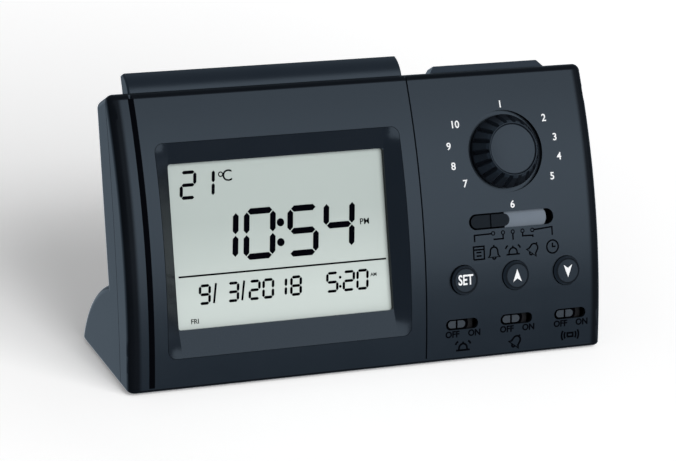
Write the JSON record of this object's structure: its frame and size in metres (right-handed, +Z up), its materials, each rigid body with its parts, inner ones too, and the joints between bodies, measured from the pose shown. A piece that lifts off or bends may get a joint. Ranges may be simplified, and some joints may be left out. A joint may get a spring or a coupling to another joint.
{
  "type": "alarm clock",
  "caption": "Slab alarm clock leaning back on a battery foot, with a large display, a selector knob, push buttons, slide switches and a top bar.",
  "frame": {"origin": "centre of the whole object's box at the surface it stands on", "axes": "+X along the width to the viewer's right, +Y to the back, +Z up"},
  "size_m": [0.149, 0.044, 0.0789],
  "materials": {
    "case_black": "satin black moulded plastic",
    "bezel_black": "semi-gloss black moulded plastic",
    "key_black": "satin black moulded plastic",
    "knob_grey": "satin dark grey moulded plastic",
    "shutter_grey": "matt light grey moulded plastic",
    "display_glass": "matt grey-green display glass",
    "diffuser_white": "milky diffuser",
    "frame_grey": "plain moulded plastic",
    "board_green": "printed circuit board with solder mask",
    "switch_black": "moulded switch body",
    "rubber_black": "soft black rubber",
    "screw_steel": "zinc plated steel",
    "cell_metal": "plain battery sleeve",
    "speaker_black": "speaker frame"
  },
  "bodies": {
    "root": {"front_shell": "case_black", "rear_cover": "case_black", "display_bezel": "bezel_black", "lcd_glass": "display_glass", "backlight_panel": "diffuser_white", "zebra_strip": "rubber_black", "lcd_frame": "frame_grey", "main_board": "board_green", "main_board_chips": "switch_black", "control_board": "board_green", "board_screws": "screw_steel", "rotary_switch": "switch_black", "tact_switches": "switch_black", "slide_switches": "switch_black", "mode_switch": "switch_black", "top_board": "board_green", "top_tact_switches": "switch_black", "speaker": "speaker_black", "batteries": "cell_metal", "battery_contacts": "screw_steel", "battery_spring": "screw_steel", "case_screws": "screw_steel", "rubber_feet": "rubber_black"},
    "knob": {"city_knob": "knob_grey", "knob_shaft": "knob_grey"},
    "set_key": {"set_button": "key_black"},
    "up_key": {"up_button": "key_black"},
    "down_key": {"down_button": "key_black"},
    "mode_slider": {"mode_slide": "key_black", "mode_shutter": "shutter_grey"},
    "left_switch": {"left_alarm_slide": "key_black"},
    "middle_switch": {"middle_alarm_slide": "key_black"},
    "right_switch": {"right_alarm_slide": "key_black"},
    "snooze_key": {"snooze_bar": "key_black"},
    "top_key": {"top_button": "key_black"},
    "battery_cover": {"battery_door": "case_black"}
  },
  "joints": [
    {"name": "knob_turn", "type": "hinge", "parent": "root", "child": "knob", "pos_m": [0.0456, -0.00083, 0.05624], "axis": [0, -0.8632, 0.5049], "continuous": true},
    {"name": "set_press", "type": "slide", "parent": "root", "child": "set_key", "axis": [0, 0.9445, -0.3286], "range_m": [0, 0.0008], "stiffness_N_per_m": 900},
    {"name": "up_press", "type": "slide", "parent": "root", "child": "up_key", "axis": [0, 0.9445, -0.3286], "range_m": [0, 0.0008], "stiffness_N_per_m": 900},
    {"name": "down_press", "type": "slide", "parent": "root", "child": "down_key", "axis": [0, 0.9445, -0.3286], "range_m": [0, 0.0008], "stiffness_N_per_m": 900},
    {"name": "mode_slide_travel", "type": "slide", "parent": "root", "child": "mode_slider", "axis": [1, 0, 0], "range_m": [0, 0.0128]},
    {"name": "left_switch_travel", "type": "slide", "parent": "root", "child": "left_switch", "axis": [1, 0, 0], "range_m": [0, 0.0036]},
    {"name": "middle_switch_travel", "type": "slide", "parent": "root", "child": "middle_switch", "axis": [1, 0, 0], "range_m": [0, 0.0036]},
    {"name": "right_switch_travel", "type": "slide", "parent": "root", "child": "right_switch", "axis": [1, 0, 0], "range_m": [0, 0.0036]},
    {"name": "snooze_press", "type": "slide", "parent": "root", "child": "snooze_key", "axis": [0, -0.6146, -0.7888], "range_m": [0, 0.0014], "stiffness_N_per_m": 700},
    {"name": "top_button_press", "type": "slide", "parent": "root", "child": "top_key", "axis": [0, -0.6146, -0.7888], "range_m": [0, 0.0014], "stiffness_N_per_m": 700},
    {"name": "battery_cover_off", "type": "slide", "parent": "root", "child": "battery_cover", "axis": [0, 1, 0], "range_m": [0, 0.025]}
  ]
}
